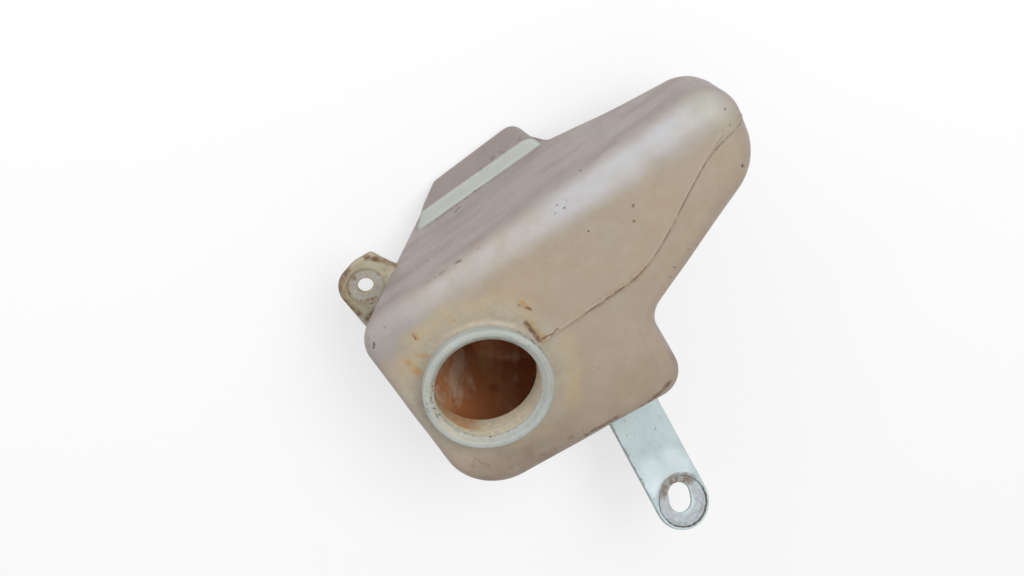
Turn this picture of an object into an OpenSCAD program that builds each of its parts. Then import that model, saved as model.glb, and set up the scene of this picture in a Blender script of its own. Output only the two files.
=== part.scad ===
// Coolant expansion tank, blown in one piece from natural polyethylene.
// The origin is the middle of the flat base, X runs towards the nose and Z is up, along the filler neck.
// The modules measure from the neck's axis, and the finished tank is moved back to the origin.

/* [Shell] */
// Height of the roof above the base
roof_z = 82; // [74:0.5:92]
// Thickness of the blown wall
wall = 2.5; // [2:0.1:3.2]
// Rise of the roof towards its middle
crown = 1; // [0:0.1:2]
// Rounding along the bottom edge of the main chamber
base_edge_r = 5; // [4:0.5:6]
// Rounding along the bottom edge of the nose
nose_base_r = 11; // [6:0.5:11]
// Rounding along the roof edge beside the neck
end_edge_r = 9; // [7:0.5:11]
// Rounding along the roof edge at the nose
nose_edge_r = 12.5; // [10:0.5:12.5]
// Extra rounding half-way along the back of the roof
back_edge_swell = 3; // [0:0.5:3.5]
// Height of the mould's parting ridge
ridge_h = 0.4; // [0.2:0.05:0.8]

/* [Main chamber] */
// Neck axis to the end wall, at roof level
end_reach = 36; // [33:0.5:45]
// Neck axis to the front wall, at its end corner
front_reach = 46; // [42:0.5:54]
// How much further out the front wall is at the notch
front_spread = 11; // [4:0.5:14]
// Neck axis to the back wall
back_reach = 48; // [42:0.5:54]
// How much further out the back wall is at the nose
back_spread = 0; // [0:0.5:4]
// Neck axis to the front corner beside the notch
main_reach = 65; // [58:0.5:70]
// How much nearer the end wall is to the neck at the back
end_slant = 3; // [0:0.5:6]
// Corner rounding in plan, at the front end corner
front_corner_r = 19; // [15:0.5:22]
// Corner rounding in plan, at the back end corner
back_corner_r = 13; // [12:0.5:16]
// Corner rounding in plan, beside the notch
notch_corner_r = 12; // [12:0.5:15]
// How far the end wall leans in at the base, on the front side
end_lean_front = 22; // [14:0.5:28]
// How far the end wall leans in at the base, on the back side
end_lean_back = 39.5; // [28:0.5:42]
// How far the front wall leans in at the base
front_lean = 6; // [2:0.5:10]
// How far the notch wall leans in at the base
notch_lean = 4; // [2:0.5:6]
// How far the back wall leans in at the base
back_lean = 2; // [0:0.5:4]

// Neck axis to the middle of the base, where the origin lies
base_middle = 30; // [24:0.5:34]

/* [Nose chamber] */
// Neck axis to the tip of the nose
nose_reach = 146.5; // [136:0.5:156]
// Depth of the notch, from the front wall to the nose
notch_depth = 33.8; // [28:0.2:38]
// How far the notch wall runs on towards the nose
notch_slant = 3.2; // [1:0.2:6]
// Width of the nose at its tip
nose_w = 42.5; // [42:0.5:50]
// How much shorter the nose is at the front
nose_slant = 6; // [0:0.5:7]
// Corner rounding in plan, at the front of the nose
nose_front_r = 22; // [18:0.5:22]
// Corner rounding in plan, at the back of the nose
nose_back_r = 14; // [13.5:0.5:20]
// How far the nose wall leans in, carried down to base level
nose_lean = 5; // [2:0.5:8]
// Height of the underside where the nose begins
nose_step_h = 20.5; // [16:0.5:26]
// Length of the slope from the base up to the nose
nose_step_len = 10; // [8:0.5:16]
// Depth of the nose at its tip, roof to underside
nose_depth = 33; // [33:0.5:42]

/* [Foot] */
// Height of the ledge on the back wall
foot_h = 22; // [18:0.5:26]
// Width of the ledge
foot_out = 5.3; // [3:0.1:6]
// Rise of the ledge from its edge to the wall
ledge_rise = 1.5; // [1:0.1:2.5]
// How much further out the foot is at the base, at its far end
foot_flare = 5.2; // [1:0.1:6]
// Neck axis to the near end of the foot
foot_start = 6; // [4:0.5:10]
// Length of the foot
foot_len = 72; // [66:0.5:74]
// Length over which the far end of the foot dies out
foot_fade = 13; // [12:0.5:20]

/* [Filler neck] */
// Bore of the neck
neck_bore_d = 43.4; // [38:0.1:46]
// Wall of the neck at its rim
neck_wall = 4.7; // [4:0.1:6]
// Height of the mouth above the roof
neck_h = 8; // [6.5:0.5:12]
// Length of the throat
throat_len = 15; // [13:0.5:18]
// Dish of the rim, from its edge down to the mouth
rim_dish = 1.7; // [0.5:0.1:2]
// Rounding of the rim
rim_r = 1.2; // [0.8:0.1:1.5]
// Thickness of the bead round the rim
bead_h = 5.4; // [4:0.1:6]
// Depth of the undercut below the bead
bead_depth = 2.2; // [1:0.1:2.4]

/* [Lug] */
// Depth of the lug's upper face below the roof
lug_drop = 37; // [30:0.5:45]
// Thickness of the lug
lug_t = 3; // [2.5:0.1:4]
// Bore for the fixing screw
lug_bore_d = 6.6; // [5:0.1:8.4]
// Radius of the lug's end
lug_r = 11.2; // [9:0.1:13]
// End wall at roof level to the screw, along the tank
lug_in = 14.8; // [12:0.1:18]
// Back wall at roof level to the screw, outwards
lug_out = 0.5; // [0:0.1:4]
// Length of the lug's straight side
lug_run = 20; // [14:0.5:24]
// Screw to the square corner of the lug
lug_back = 10.5; // [9:0.5:13]
// Diameter of the dent that the washer left
washer_d = 15; // [12:0.5:17]
// Depth of that dent
washer_dent = 0.3; // [0.1:0.1:0.8]

/* [Strap] */
// Width of the strap
strap_w = 25.4; // [24:0.2:28]
// Thickness of the strap
strap_t = 3; // [2.5:0.1:4]
// Neck axis to the middle of the recess, along the tank
strap_x = 30.2; // [24:0.2:36]
// Front wall to the middle of the recess, outwards
strap_reach = 59; // [50:0.5:66]
// Depth of the recess below the roof
strap_drop = 22; // [16:0.5:28]
// Rise of the strap towards its end
strap_rise = 23.5; // [16:0.5:28]
// Roll of the strap about its length
strap_roll = 22; // [10:0.5:26]
// Turn of the strap away from square, seen from above
strap_turn = 7; // [0:0.5:10]
// Diameter of the round recess
recess_d = 23; // [20:0.1:23.4]
// Depth of the round recess
recess_depth = 1; // [0.5:0.1:1.5]
// Width of the oblong hole
slot_w = 10.6; // [8:0.1:11]
// Length of the oblong hole
slot_len = 13.3; // [12:0.1:15]
// Turn of the oblong hole from the strap's length
slot_turn = 20; // [0:1:30]
// Middle of the recess back to the middle of the hole
slot_back = 2; // [0:0.1:3]

/* [Hidden] */
$fn = 72;
plastic = [0.72, 0.7, 0.64];
overlap = 0.5;
lug_sink = 13;

nose_tip_h = roof_z - nose_depth;

// Corners of the plan in the order front end, notch, notch root, nose front, nose back, back end
front_y = -front_reach - front_spread;
nose_back_y = back_reach + back_spread;
roof_plan = [
    [-end_reach, -front_reach],
    [main_reach, front_y],
    [main_reach + notch_slant, front_y + notch_depth],
    [nose_reach - nose_slant, nose_back_y - nose_w],
    [nose_reach, nose_back_y],
    [-end_reach + end_slant, back_reach]
];
lean = [
    [end_lean_front, front_lean],
    [-notch_lean, front_lean],
    [-notch_lean, front_lean],
    [-nose_lean, nose_lean],
    [-nose_lean, -back_lean],
    [end_lean_back, -back_lean]
];
base_plan = roof_plan + lean;
corner_r = [front_corner_r, notch_corner_r, notch_corner_r, nose_front_r, nose_back_r, back_corner_r];
edge_r = [end_edge_r, end_edge_r, end_edge_r, nose_edge_r, nose_edge_r, end_edge_r];

// How finely the shell is divided
half_arc = 3;
front_steps = 6;
notch_steps = 2;
nose_steps = 5;
side = half_arc + front_steps + 4 + notch_steps + 4 + nose_steps + half_arc;
across = 12;
middle = across / 2;
ring = 2 * (side + across);
ridge_half_w = 0.9;

function unit(v) = v / norm(v);
function mix(a, b, t) = a + (b - a) * t;
function turned(v, a) = [v.x * cos(a) - v.y * sin(a), v.x * sin(a) + v.y * cos(a)];
function outward(d) = [d.y, -d.x];
function ease(t) = let (s = min(max(t, 0), 1)) s * s * (3 - 2 * s);

// Direction of the outline before and after corner k
function before(plan, k) = unit(plan[k] - plan[(k + 5) % 6]);
function after(plan, k) = unit(plan[(k + 1) % 6] - plan[k]);
function bend(plan, k) = atan2(cross(before(plan, k), after(plan, k)), before(plan, k) * after(plan, k));
function corner_normal(plan, k, f) = turned(outward(before(plan, k)), bend(plan, k) * f);

// Point a share f of the way round corner k
function corner_point(plan, k, f) =
    let (
        sense = sign(bend(plan, k)),
        tangent = corner_r[k] * tan(abs(bend(plan, k)) / 2),
        centre = plan[k] - before(plan, k) * tangent - outward(before(plan, k)) * corner_r[k] * sense
    )
    centre + corner_normal(plan, k, f) * corner_r[k] * sense;

// A post stands for one upright line of the wall: roof point, base point, normal, roof edge, ridge
function post(k, f) = [
    corner_point(roof_plan, k, f),
    corner_point(base_plan, k, f),
    corner_normal(roof_plan, k, f),
    edge_r[k],
    0
];
function arc(k, from, to, n) = [for (i = [0:n]) post(k, mix(from, to, i / n))];
function between(p, q, n) = [for (i = [1:n - 1]) mix(p, q, i / n)];
function flipped(list) = [for (i = [len(list) - 1:-1:0]) list[i]];

// Front wall from the end to the nose
front_posts = concat(
    arc(0, 0.5, 1, half_arc),
    between(post(0, 1), post(1, 0), front_steps),
    arc(1, 0, 1, 4),
    between(post(1, 1), post(2, 0), notch_steps),
    arc(2, 0, 1, 4),
    between(post(2, 1), post(3, 0), nose_steps),
    arc(3, 0, 0.5, half_arc)
);
last = len(front_posts) - 1;

// Back wall from the end to the nose, each post opposite one of the front wall, so that
// the rows across the roof and the floor run square to the tank
function partner_x(i, level) =
    let (
        x = front_posts[i][level].x,
        first = front_posts[half_arc][level].x,
        end = front_posts[last - half_arc][level].x,
        s = (x - first) / (end - first)
    )
    x + (post(5, 0)[level].x - first) * pow(1 - s, 4) + (post(4, 1)[level].x - end) * pow(s, 4);
function share(i, level) =
    (partner_x(i, level) - post(5, 0)[level].x) / (post(4, 1)[level].x - post(5, 0)[level].x);
function back_post(i) = [
    mix(post(5, 0)[0], post(4, 1)[0], share(i, 0)),
    mix(post(5, 0)[1], post(4, 1)[1], share(i, 1)),
    mix(post(5, 0)[2], post(4, 1)[2], share(i, 0)),
    mix(edge_r[5], edge_r[4], share(i, 0)) + back_edge_swell * sin(180 * share(i, 0)),
    0
];
back_posts = concat(
    arc(5, 0.5, 0, half_arc),
    [for (i = [half_arc + 1:last - half_arc - 1]) back_post(i)],
    arc(4, 1, 0.5, half_arc)
);

// The two end walls, from front to back, with the ridge in the middle
ridge_start = main_reach + 5;
ridge_end = nose_reach - 8;
function ridge_y(x) = (nose_back_y - nose_w / 2) * ease((x - ridge_start) / (ridge_end - ridge_start));
function wall_post(p, q, y) = mix(p, q, (y - p[0].y) / (q[0].y - p[0].y));
function ridged(p) = [p[0], p[1], p[2], p[3], 1];
function end_wall(p, q, y) = [
    mix(p, wall_post(p, q, y), 0.5),
    wall_post(p, q, y - ridge_half_w),
    ridged(wall_post(p, q, y)),
    wall_post(p, q, y + ridge_half_w),
    mix(wall_post(p, q, y), q, 0.5)
];
end_posts = concat(
    arc(0, 0.5, 0, half_arc),
    end_wall(post(0, 0), post(5, 1), 0),
    arc(5, 1, 0.5, half_arc)
);
nose_posts = concat(
    arc(3, 0.5, 1, half_arc),
    end_wall(post(3, 1), post(4, 0), ridge_y(nose_reach)),
    arc(4, 0, 0.5, half_arc)
);

posts = concat(
    front_posts,
    [for (i = [1:across - 1]) nose_posts[i]],
    flipped(back_posts),
    [for (i = [across - 1:-1:1]) end_posts[i]]
);

// Underside: flat under the main chamber, then up a step and along the nose
step_x = main_reach - 4;
step_end = step_x + nose_step_len;
low_edge_len = 45;
function floor_z(x) =
    nose_step_h * ease((x - step_x) / nose_step_len)
    + (nose_tip_h - nose_step_h) * max(0, (x - step_end) / (nose_reach - step_end));
function floor_at(x, thick) = floor_z(x + thick) + thick;
function low_edge_r(x) = mix(base_edge_r, nose_base_r, ease((x - step_x) / low_edge_len));

// Foot on the back wall, drawn out over a length and up to the ledge
foot_skew = 3;
foot_rise = 4;
function foot_y(x, z) =
    let (
        drop = max(0, 1 - z / foot_h),
        near = (x - foot_start - foot_skew * drop) / (foot_rise + 2 * foot_skew * drop),
        far = (foot_start + foot_len - x) / foot_fade,
        ends = min(1, max(0, near), pow(max(0, far), 1.5)),
        lip = min(1, max(0, (foot_h + ledge_rise - z) / ledge_rise)),
        flare = foot_flare * drop * mix(0.5, 1, min(1, max(0, (x - foot_start) / (foot_len - foot_fade))))
    )
    ends * lip * (foot_out + flare);

// Heights of the rows of the plain wall, given for the main chamber
wall_high = roof_z - 17;
ledge_top = foot_h + ledge_rise;
wall_rows = concat(
    [mix(base_edge_r, foot_h, 0.5), foot_h, ledge_top],
    [for (i = [1:3]) mix(ledge_top, wall_high, i / 3)]
);
row_gap = 0.9;
low_arc = [0, 30, 60, 90];
top_arc = [0, 15, 30, 45, 60, 75, 90];
rows = len(low_arc) + len(wall_rows) + len(top_arc);

function wall_point(p, z, inset, thick, out) =
    let (
        q = mix(p[1], p[0], z / roof_z) + p[2] * (p[4] * ridge_h * out - inset),
        foot = p[2].y > 0.2 ? foot_y(q.x, z + thick) : 0
    )
    [q.x, q.y + foot, z];

// Place along X where the wall of a post has turned into the floor
function floor_x(p) =
    let (
        low_r = low_edge_r(p[1].x),
        first = floor_z(p[1].x - p[2].x * low_r)
    )
    mix(p[1], p[0], first / roof_z).x - p[2].x * low_r;

// One point of a post: on the bottom rounding, on the plain wall or on the roof rounding
function wall_row(p, r, thick, out) =
    let (
        x = floor_x(p),
        low = floor_at(x, thick),
        low_r = low_edge_r(x) - thick,
        top_r = p[3] - thick,
        i = r - len(low_arc),
        j = i - len(wall_rows)
    )
    i < 0
        ? wall_point(p, low + low_r * (1 - cos(low_arc[r])), thick + low_r * (1 - sin(low_arc[r])), thick, out)
        : j < 0
            ? wall_point(p, max(wall_rows[i] - thick, low + low_r + (i + 1) * row_gap), thick, thick, out)
            : wall_point(p, roof_z - thick - top_r * (1 - sin(top_arc[j])),
                thick + top_r * (1 - cos(top_arc[j])), thick, out);

function ring_points(r, thick, out) = [for (p = posts) wall_row(p, r, thick, out)];

// Number in its ring of the point on the edge of the roof or the floor
function rim_index(i, c) =
    c == 0 ? i : i == side ? side + c : c == across ? 2 * side + across - i : (ring - c) % ring;
column_share = [0, 0.07, 0.2, 0.42, 0.72, 0.98, 1];

// A point inside the roof or the floor, blended from the four edges and the ridge line
function sheet_base(edge, i, c) =
    let (
        a = edge[rim_index(i, 0)],
        b = edge[rim_index(i, across)],
        x = (a.x + b.x) / 2,
        m = [x, ridge_y(x), 0],
        s = c <= middle ? column_share[c] : column_share[across - c]
    )
    c <= middle ? mix([a.x, a.y, 0], m, s) : mix([b.x, b.y, 0], m, s);
function fade(edge, i, from, reach) =
    pow(max(0, 1 - abs(edge[i].x - edge[from].x) / reach), 2);
function sheet_point(edge, i, c) =
    sheet_base(edge, i, c)
    + fade(edge, i, 0, end_reach) * (edge[rim_index(0, c)] - sheet_base(edge, 0, c))
    + fade(edge, i, side, nose_w * 0.7) * (edge[rim_index(side, c)] - sheet_base(edge, side, c));

function roof_points(edge, thick, out) = [
    for (i = [1:side - 1]) for (c = [1:across - 1])
        let (p = sheet_point(edge, i, c), rise = crown * sin(180 * i / side) * sin(180 * c / across))
        [p.x, p.y, roof_z - thick + rise + (c == middle ? ridge_h * out : 0)]
];
function floor_points(edge, thick, out) = [
    for (i = [1:side - 1]) for (c = [1:across - 1])
        let (p = sheet_point(edge, i, c))
        [p.x, p.y, floor_at(p.x, thick) + (c == middle ? ridge_h * out : 0)]
];

// Numbers of the points in the sheets that close the roof and the floor
function sheet_index(i, c, edge_start, sheet_start) =
    c == 0 || c == across || i == 0 || i == side
        ? edge_start + rim_index(i, c)
        : sheet_start + (i - 1) * (across - 1) + c - 1;
function sheet_faces(edge_start, sheet_start, up) = [
    for (i = [0:side - 1]) for (c = [0:across - 1])
        let (
            p = sheet_index(i, c, edge_start, sheet_start),
            q = sheet_index(i + 1, c, edge_start, sheet_start),
            s = sheet_index(i + 1, c + 1, edge_start, sheet_start),
            t = sheet_index(i, c + 1, edge_start, sheet_start)
        )
        each up ? [[p, t, s], [p, s, q]] : [[p, s, t], [p, q, s]]
];
function wall_faces() = [
    for (r = [0:rows - 2]) for (i = [0:ring - 1])
        let (p = r * ring + i, q = r * ring + (i + 1) % ring)
        each [[p, p + ring, q + ring], [p, q + ring, q]]
];

// A closed skin: the outside of the shell, or the space inside it
module skin(thick, out) {
    low_edge = ring_points(0, thick, out);
    top_edge = ring_points(rows - 1, thick, out);
    sheet = (side - 1) * (across - 1);
    polyhedron(
        points = concat(
            [for (r = [0:rows - 1]) each ring_points(r, thick, out)],
            floor_points(low_edge, thick, out),
            roof_points(top_edge, thick, out)
        ),
        faces = concat(
            wall_faces(),
            sheet_faces(0, rows * ring, false),
            sheet_faces((rows - 1) * ring, rows * ring + sheet, true)
        ),
        convexity = 8
    );
}

// Filler neck: a dished rim with a bead round it, over a narrower collar, turned about Z
bore_r = neck_bore_d / 2;
neck_r = bore_r + neck_wall;
collar_r = neck_r - bead_depth;
mouth_z = roof_z + neck_h;
rim_z = mouth_z + rim_dish;
throat_z = mouth_z - throat_len;
root_flare = 3;
bead_edge = 0.6;
rim_w = 2.2;
mouth_edge = 0.8;
module neck_ring() {
    rotate_extrude()
        polygon(concat(
            [
                [bore_r, throat_z],
                [collar_r - root_flare / 3, throat_z],
                [collar_r + root_flare, roof_z - wall],
                [collar_r + root_flare, roof_z - wall / 2],
                [collar_r, roof_z + crown + overlap],
                [collar_r, rim_z - bead_h],
                [neck_r - bead_edge, rim_z - bead_h],
                [neck_r, rim_z - bead_h + bead_edge]
            ],
            [for (a = [0:15:90]) [neck_r - rim_r * (1 - cos(a)), rim_z - rim_r * (1 - sin(a))]],
            [
                [neck_r - rim_w, rim_z],
                [bore_r + mouth_edge, mouth_z + mouth_edge / 4],
                [bore_r, mouth_z - mouth_edge / 2]
            ]
        ));
}
module throat() {
    translate([0, 0, throat_z - overlap])
        cylinder(h = throat_len + rim_dish + 2 * overlap, d = neck_bore_d);
}

// Lug: a flat ear behind the end wall, with a bore and the dent of a washer
lug_at = [-end_reach + lug_in, back_reach + lug_out, roof_z - lug_drop];
module lug_plate() {
    translate(lug_at - [0, 0, lug_t]) {
        cylinder(h = lug_t, r = lug_r);
        linear_extrude(lug_t)
            polygon([
                [-lug_r, 0],
                [-lug_r, -lug_run],
                [lug_sink / 2, -lug_run - lug_sink],
                [2 * lug_sink, -lug_run],
                [1.3 * lug_sink, 0],
                [lug_back + 1.5, lug_r - 2.3],
                [lug_back, lug_r - 0.8],
                [3, lug_r - 0.2]
            ]);
    }
}
module lug_cuts() {
    translate(lug_at - [0, 0, lug_t + overlap])
        cylinder(h = lug_t + 2 * overlap, d = lug_bore_d);
    translate(lug_at - [0, 0, washer_dent])
        cylinder(h = washer_dent + overlap, d = washer_d);
}

// Strap: a flat tongue from the front wall, with a round end, a recess and an oblong hole
strap_at = [strap_x, front_y - strap_reach, roof_z - strap_drop];
strap_len = (strap_reach + front_lean + 3) / cos(strap_rise);
module strap_frame() {
    translate(strap_at)
        rotate([-strap_roll, -strap_rise, -90 - strap_turn])
            children();
}
module strap_plate() {
    strap_frame()
        translate([0, 0, -strap_t]) {
            cylinder(h = strap_t, d = strap_w);
            translate([-strap_len, -strap_w / 2, 0])
                cube([strap_len, strap_w, strap_t]);
        }
}
module strap_cuts() {
    strap_frame() {
        translate([0, 0, -recess_depth])
            cylinder(h = recess_depth + overlap, d = recess_d);
        translate([-slot_back, 0, -strap_t - overlap])
            rotate(-slot_turn)
                linear_extrude(strap_t + 2 * overlap)
                    slot_outline();
    }
}
module slot_outline() {
    half = (slot_len - slot_w) / 2;
    for (x = [-half, half])
        translate([x, 0])
            circle(d = slot_w);
    square([2 * half, slot_w], center = true);
}

module tank() {
    color(plastic)
        translate([-base_middle, 0, 0])
            difference() {
                union() {
                    difference() {
                        union() {
                            skin(0, 1);
                            lug_plate();
                            strap_plate();
                        }
                        skin(wall, 0);
                    }
                    neck_ring();
                }
                throat();
                lug_cuts();
                strap_cuts();
            }
}

tank();
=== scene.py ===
# Coolant expansion tank: the blown polyethylene shell with its neck, lug and strap, its stains and scuffs.
# Sizes are in millimetres from the neck's axis. They are moved to the frame's origin, in metres, when a mesh
# is made.
import bpy
import math
import numpy as np
from mathutils import Matrix, Vector
from mathutils.bvhtree import BVHTree


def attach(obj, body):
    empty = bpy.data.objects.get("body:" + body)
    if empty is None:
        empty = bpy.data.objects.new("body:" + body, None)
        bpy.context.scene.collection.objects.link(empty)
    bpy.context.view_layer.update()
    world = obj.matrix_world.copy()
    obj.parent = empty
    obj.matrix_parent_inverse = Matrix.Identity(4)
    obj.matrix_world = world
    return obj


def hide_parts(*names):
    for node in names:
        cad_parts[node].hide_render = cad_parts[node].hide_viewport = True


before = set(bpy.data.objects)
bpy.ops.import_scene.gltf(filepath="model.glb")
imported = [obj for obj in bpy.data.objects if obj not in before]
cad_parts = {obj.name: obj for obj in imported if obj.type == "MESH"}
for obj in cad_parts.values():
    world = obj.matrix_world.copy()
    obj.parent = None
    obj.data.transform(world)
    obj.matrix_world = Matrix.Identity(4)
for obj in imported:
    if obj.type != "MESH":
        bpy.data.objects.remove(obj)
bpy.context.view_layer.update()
print("tank: the packed frame is loaded")

mm = 0.001
neckShift = -30.0  # the neck's axis lies this far along X from the middle of the base

viewpoint = {
    "place": (0.0719, 0.2651, 0.6128),
    "right": (0.81512, -0.56122, 0.14356),
    "back": (0.12054, 0.40672, 0.90557),
    "focalPixels": 1495.0,
    "pictureWidth": 1024.0,
    "sensor": 36.0,
}


def makeCamera(look):
    data = bpy.data.cameras.new("viewCamera")
    data.sensor_width = look["sensor"]
    data.lens = look["focalPixels"] / look["pictureWidth"] * look["sensor"]
    camera = bpy.data.objects.new("viewCamera", data)
    bpy.context.scene.collection.objects.link(camera)
    right, back = Vector(look["right"]).normalized(), Vector(look["back"]).normalized()
    up = back.cross(right).normalized()
    turn = Matrix((right, up, back)).transposed().to_4x4()
    camera.matrix_world = Matrix.Translation(look["place"]) @ turn
    bpy.context.scene.camera = camera


makeCamera(viewpoint)


# Small helpers for shapes

def mix(a, b, share):
    return a + (b - a) * share


def ease(share):
    s = np.clip(share, 0, 1)
    return s * s * (3 - 2 * s)


def fade(value, start, end):
    # 0 at start and 1 at end, with soft turns between
    return ease((value - start) / (end - start))


def unit(v):
    return v / np.linalg.norm(v)


def toFrame(points):
    return (np.asarray(points, float) + [neckShift, 0, 0]) * mm


def meshFrom(name, points, faces):
    mesh = bpy.data.meshes.new(name)
    mesh.from_pydata(toFrame(points).tolist(), [], [tuple(int(i) for i in f) for f in faces])
    mesh.update()
    thing = bpy.data.objects.new(name, mesh)
    bpy.context.scene.collection.objects.link(thing)
    return thing


def vertexValues(thing, name):
    values = np.zeros(len(thing.data.vertices) * 3)
    thing.data.vertices.foreach_get(name, values)
    return values.reshape(-1, 3)


def ringFaces(rings, count, closed):
    faces = []
    for r in range(rings if closed else rings - 1):
        nextRing = (r + 1) % rings
        for i in range(count):
            j = (i + 1) % count
            faces.append((r * count + i, r * count + j, nextRing * count + j, nextRing * count + i))
    return faces


def onCircle(radius, angles):
    return np.column_stack([radius * np.cos(angles), radius * np.sin(angles)])


def atHeight(path, z):
    return np.column_stack([path, np.full(len(path), z)])


def roundedCorner(plan, k, radius, shares):
    # points on the arc at corner k of a closed plan, at shares of its turn, and the ways out there
    before, after = unit(plan[k] - plan[k - 1]), unit(plan[(k + 1) % len(plan)] - plan[k])
    turn = math.atan2(before[0] * after[1] - before[1] * after[0], before @ after)
    side, a = np.array([before[1], -before[0]]), turn * np.asarray(shares)
    out = np.column_stack([side[0] * np.cos(a) - side[1] * np.sin(a),
                           side[0] * np.sin(a) + side[1] * np.cos(a)])
    bend = math.copysign(radius, turn)
    return plan[k] - before * radius * math.tan(abs(turn) / 2) - side * bend + out * bend, out


def roundedPath(corners, steps=6):
    # corners are (x, y, radius); each becomes an arc, and the path closes on itself
    plan = np.array([corner[:2] for corner in corners], float)
    arcs = [roundedCorner(plan, k, radius, np.linspace(0, 1, steps + 1) if radius > 0 else [0])[0]
            for k, (_, _, radius) in enumerate(corners)]
    return np.vstack(arcs)


def evenly(path, count):
    # the closed path again, with its points at even steps
    loop = np.vstack([path, path[:1]])
    run = np.concatenate([[0], np.cumsum(np.linalg.norm(np.diff(loop, axis=0), axis=1))])
    at = np.linspace(0, run[-1], count, endpoint=False)
    return np.column_stack([np.interp(at, run, loop[:, k]) for k in (0, 1)])


# The blown shell

shellSizes = {
    "roofHeight": 82.0,
    "wall": 2.5,
    "crown": 1.0,
    "baseEdge": 4.5,
    "noseBaseEdge": 11.0,
    "endEdge": 8.5,
    "noseEdge": 13.0,
    "backEdgeSwell": 3.0,
    "ridgeHeight": 0.4,
    "ridgeWidth": 0.55,
    "ridgeOnEnd": 0.2,  # shares of the ridge's height that are left on the end wall and on the nose's end
    "ridgeOnNose": 0.8,
    "ridgeTurns": 3.5,  # the ridge turns off this far past the main chamber,
    "ridgeStraight": 12.0,  # and is straight again this far before the nose's end
    "endReach": 38.0,
    "frontReach": 47.0,
    "frontSpread": 10.0,
    "backReach": 48.0,
    "mainReach": 65.5,
    "endSlant": 4.0,
    "frontCorner": 25.0,
    "backCorner": 13.0,
    "notchCorner": 12.0,
    "endLeanFront": 18.5,
    "endLeanBack": 41.5,
    "frontLean": 6.0,
    "notchLean": 4.0,
    "backLean": 1.0,
    "noseReach": 148.0,
    "notchDepth": 36.0,
    "notchSlant": 3.6,
    "noseWidth": 42.0,
    "noseSlant": 8.0,
    "noseFrontCorner": 25.5,
    "noseBackCorner": 16.0,
    "noseLean": 6.5,
    "noseStepHeight": 20.5,
    "noseStepLength": 10.0,
    "noseStepInset": 4.0,
    "stepBack": 3.5,  # under the foot the step lies this much nearer to the nose
    "stepBackFrom": 38.0,
    "stepBackFull": 48.0,
    "noseDepth": 33.0,
    "lowEdgeLength": 45.0,
    "footHeight": 22.0,
    "footOut": 5.3,
    "ledgeRise": 1.5,
    "footFlare": 3.4,
    "footStart": 6.5,
    "footLength": 63.5,
    "footFade": 8.0,
    "footSkew": 4.0,
    "footRise": 6.0,
    "footStartShare": 0.5,  # share of the flare that the foot starts with
    "footBow": 2.8,  # how square its far end is
    "topRowsBelow": 17.0,
    "evenRowsFrom": 88.0,  # beyond the foot the rows of points are spread evenly
    "evenRowsFull": 108.0,
    "waviness": 0.22,
}
# How finely the skin is divided: on the outside, and on the inside, which only shows through the neck
fineSteps = {
    "arc": 9, "front": 44, "corner": 12, "notch": 8, "nose": 42, "half": 19, "low": 8, "walls": 28, "top": 11,
    "ridge": [-1.6, -0.9, -0.5, -0.25, 0.0, 0.25, 0.5, 0.9, 1.6],
}
plainSteps = {
    "arc": 4, "front": 12, "corner": 5, "notch": 3, "nose": 12, "half": 6, "low": 4, "walls": 12, "top": 5,
    "ridge": [-1.6, 0.0, 1.6],
}


# A post is one upright line of the wall, in these columns: its point at the roof and at the base, its way
# out, its edge radius and its share of the ridge
roofX, roofY, baseX, baseY, outX, outY, edgeRadius, ridgeShare = range(8)
roofXY, baseXY, outXY = slice(roofX, baseX), slice(baseX, outX), slice(outX, edgeRadius)


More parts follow.
